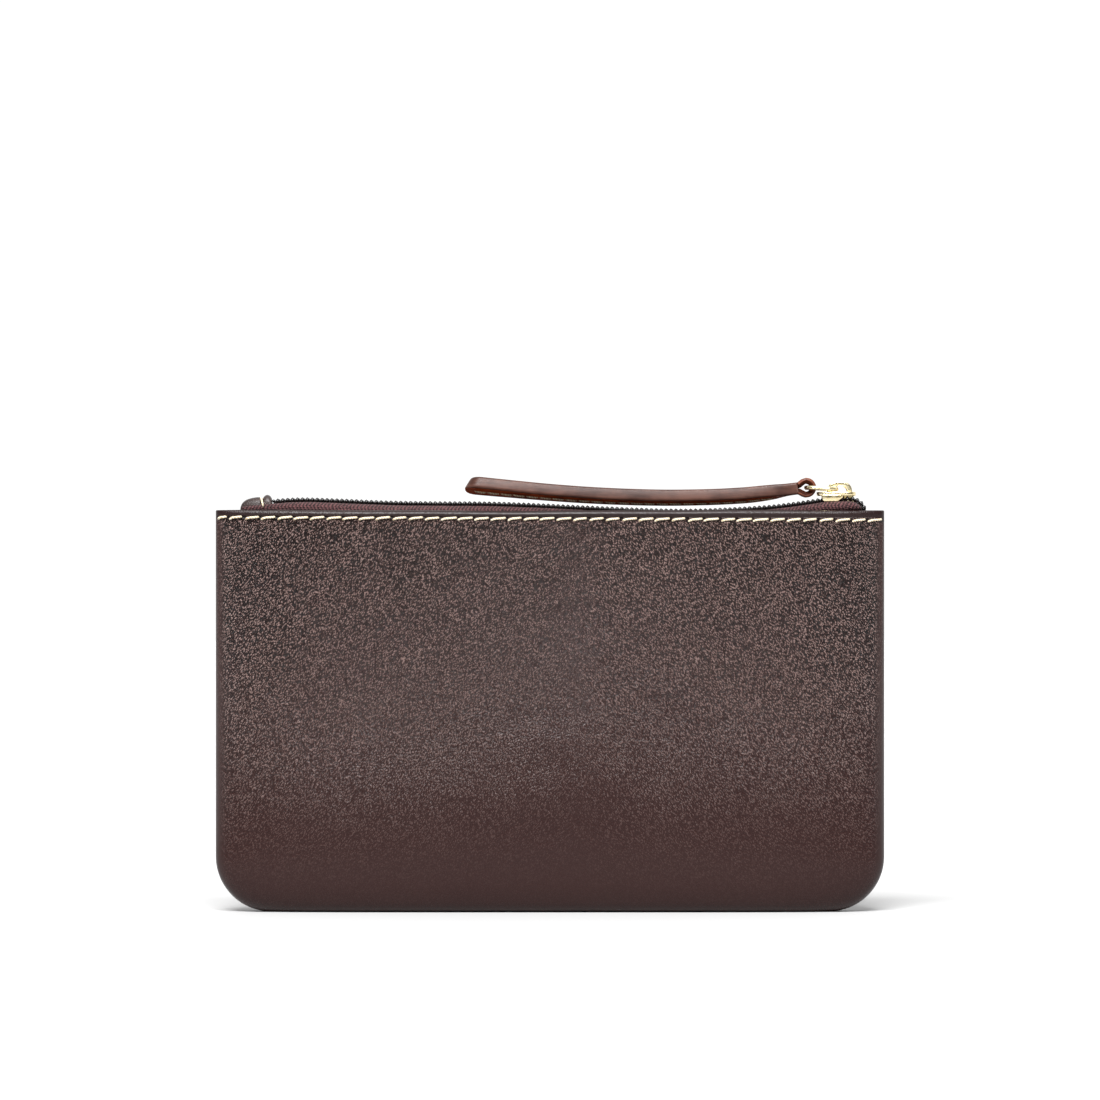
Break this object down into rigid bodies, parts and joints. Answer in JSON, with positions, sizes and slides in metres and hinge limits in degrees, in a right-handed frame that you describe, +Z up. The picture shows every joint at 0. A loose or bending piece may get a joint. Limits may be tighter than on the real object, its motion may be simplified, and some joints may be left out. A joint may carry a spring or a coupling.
{
  "type": "zippered pouch",
  "caption": "Flat leather zip pouch with a stitched top hem, a coil zip across the top, a slider and a long leather pull strap on a wire ring.",
  "frame": {"origin": "centre of the pouch's base, midway between the front and back panels, on the surface it stands on", "axes": "+X along the zip towards its closed end, -Y out of the front panel, +Z up to the zip"},
  "size_m": [0.17, 0.024, 0.1105],
  "materials": {
    "leather": "dark brown full-grain pebbled leather, satin",
    "strap_leather": "smooth red-brown leather with burnished, edge-painted sides",
    "lining": "plain woven lining cloth, matte",
    "cream_thread": "waxed cream thread",
    "strap_thread": "beige thread",
    "seam_thread": "dark brown sewing thread",
    "zip_tape": "woven polyester zip tape, dark maroon-brown",
    "zip_coil": "black nylon coil, glossy",
    "coil_cord": "black filler cord",
    "gold_metal": "pale gold plating, polished"
  },
  "bodies": {
    "pouch": {"front_panel": "leather", "back_panel": "leather", "front_lining": "lining", "back_lining": "lining", "front_hem_stitching": "cream_thread", "back_hem_stitching": "cream_thread", "front_zip_tape": "zip_tape", "back_zip_tape": "zip_tape", "front_zip_coil": "zip_coil", "back_zip_coil": "zip_coil", "front_coil_cord": "coil_cord", "back_coil_cord": "coil_cord", "zip_top_stops": "gold_metal", "zip_end_tab": "leather", "end_tab_stitch": "cream_thread", "panel_seam_stitching": "seam_thread"},
    "slider": {"slider_body": "gold_metal", "slider_crown": "gold_metal"},
    "ring": {"connector_ring": "gold_metal"},
    "strap": {"pull_strap": "strap_leather", "pull_strap_stitching": "strap_thread"}
  },
  "joints": [
    {"name": "zip_slide", "type": "slide", "parent": "pouch", "child": "slider", "axis": [1, 0, 0], "range_m": [-0.1371, 0]},
    {"name": "ring_hinge", "type": "hinge", "parent": "slider", "child": "ring", "pos_m": [0.0728, 0, 0.1074], "axis": [0, 1, 0], "range_deg": [0, 120]},
    {"name": "strap_hinge", "type": "hinge", "parent": "ring", "child": "strap", "pos_m": [0.0652, 0, 0.1083], "axis": [0, 1, 0], "range_deg": [0, 60]}
  ]
}
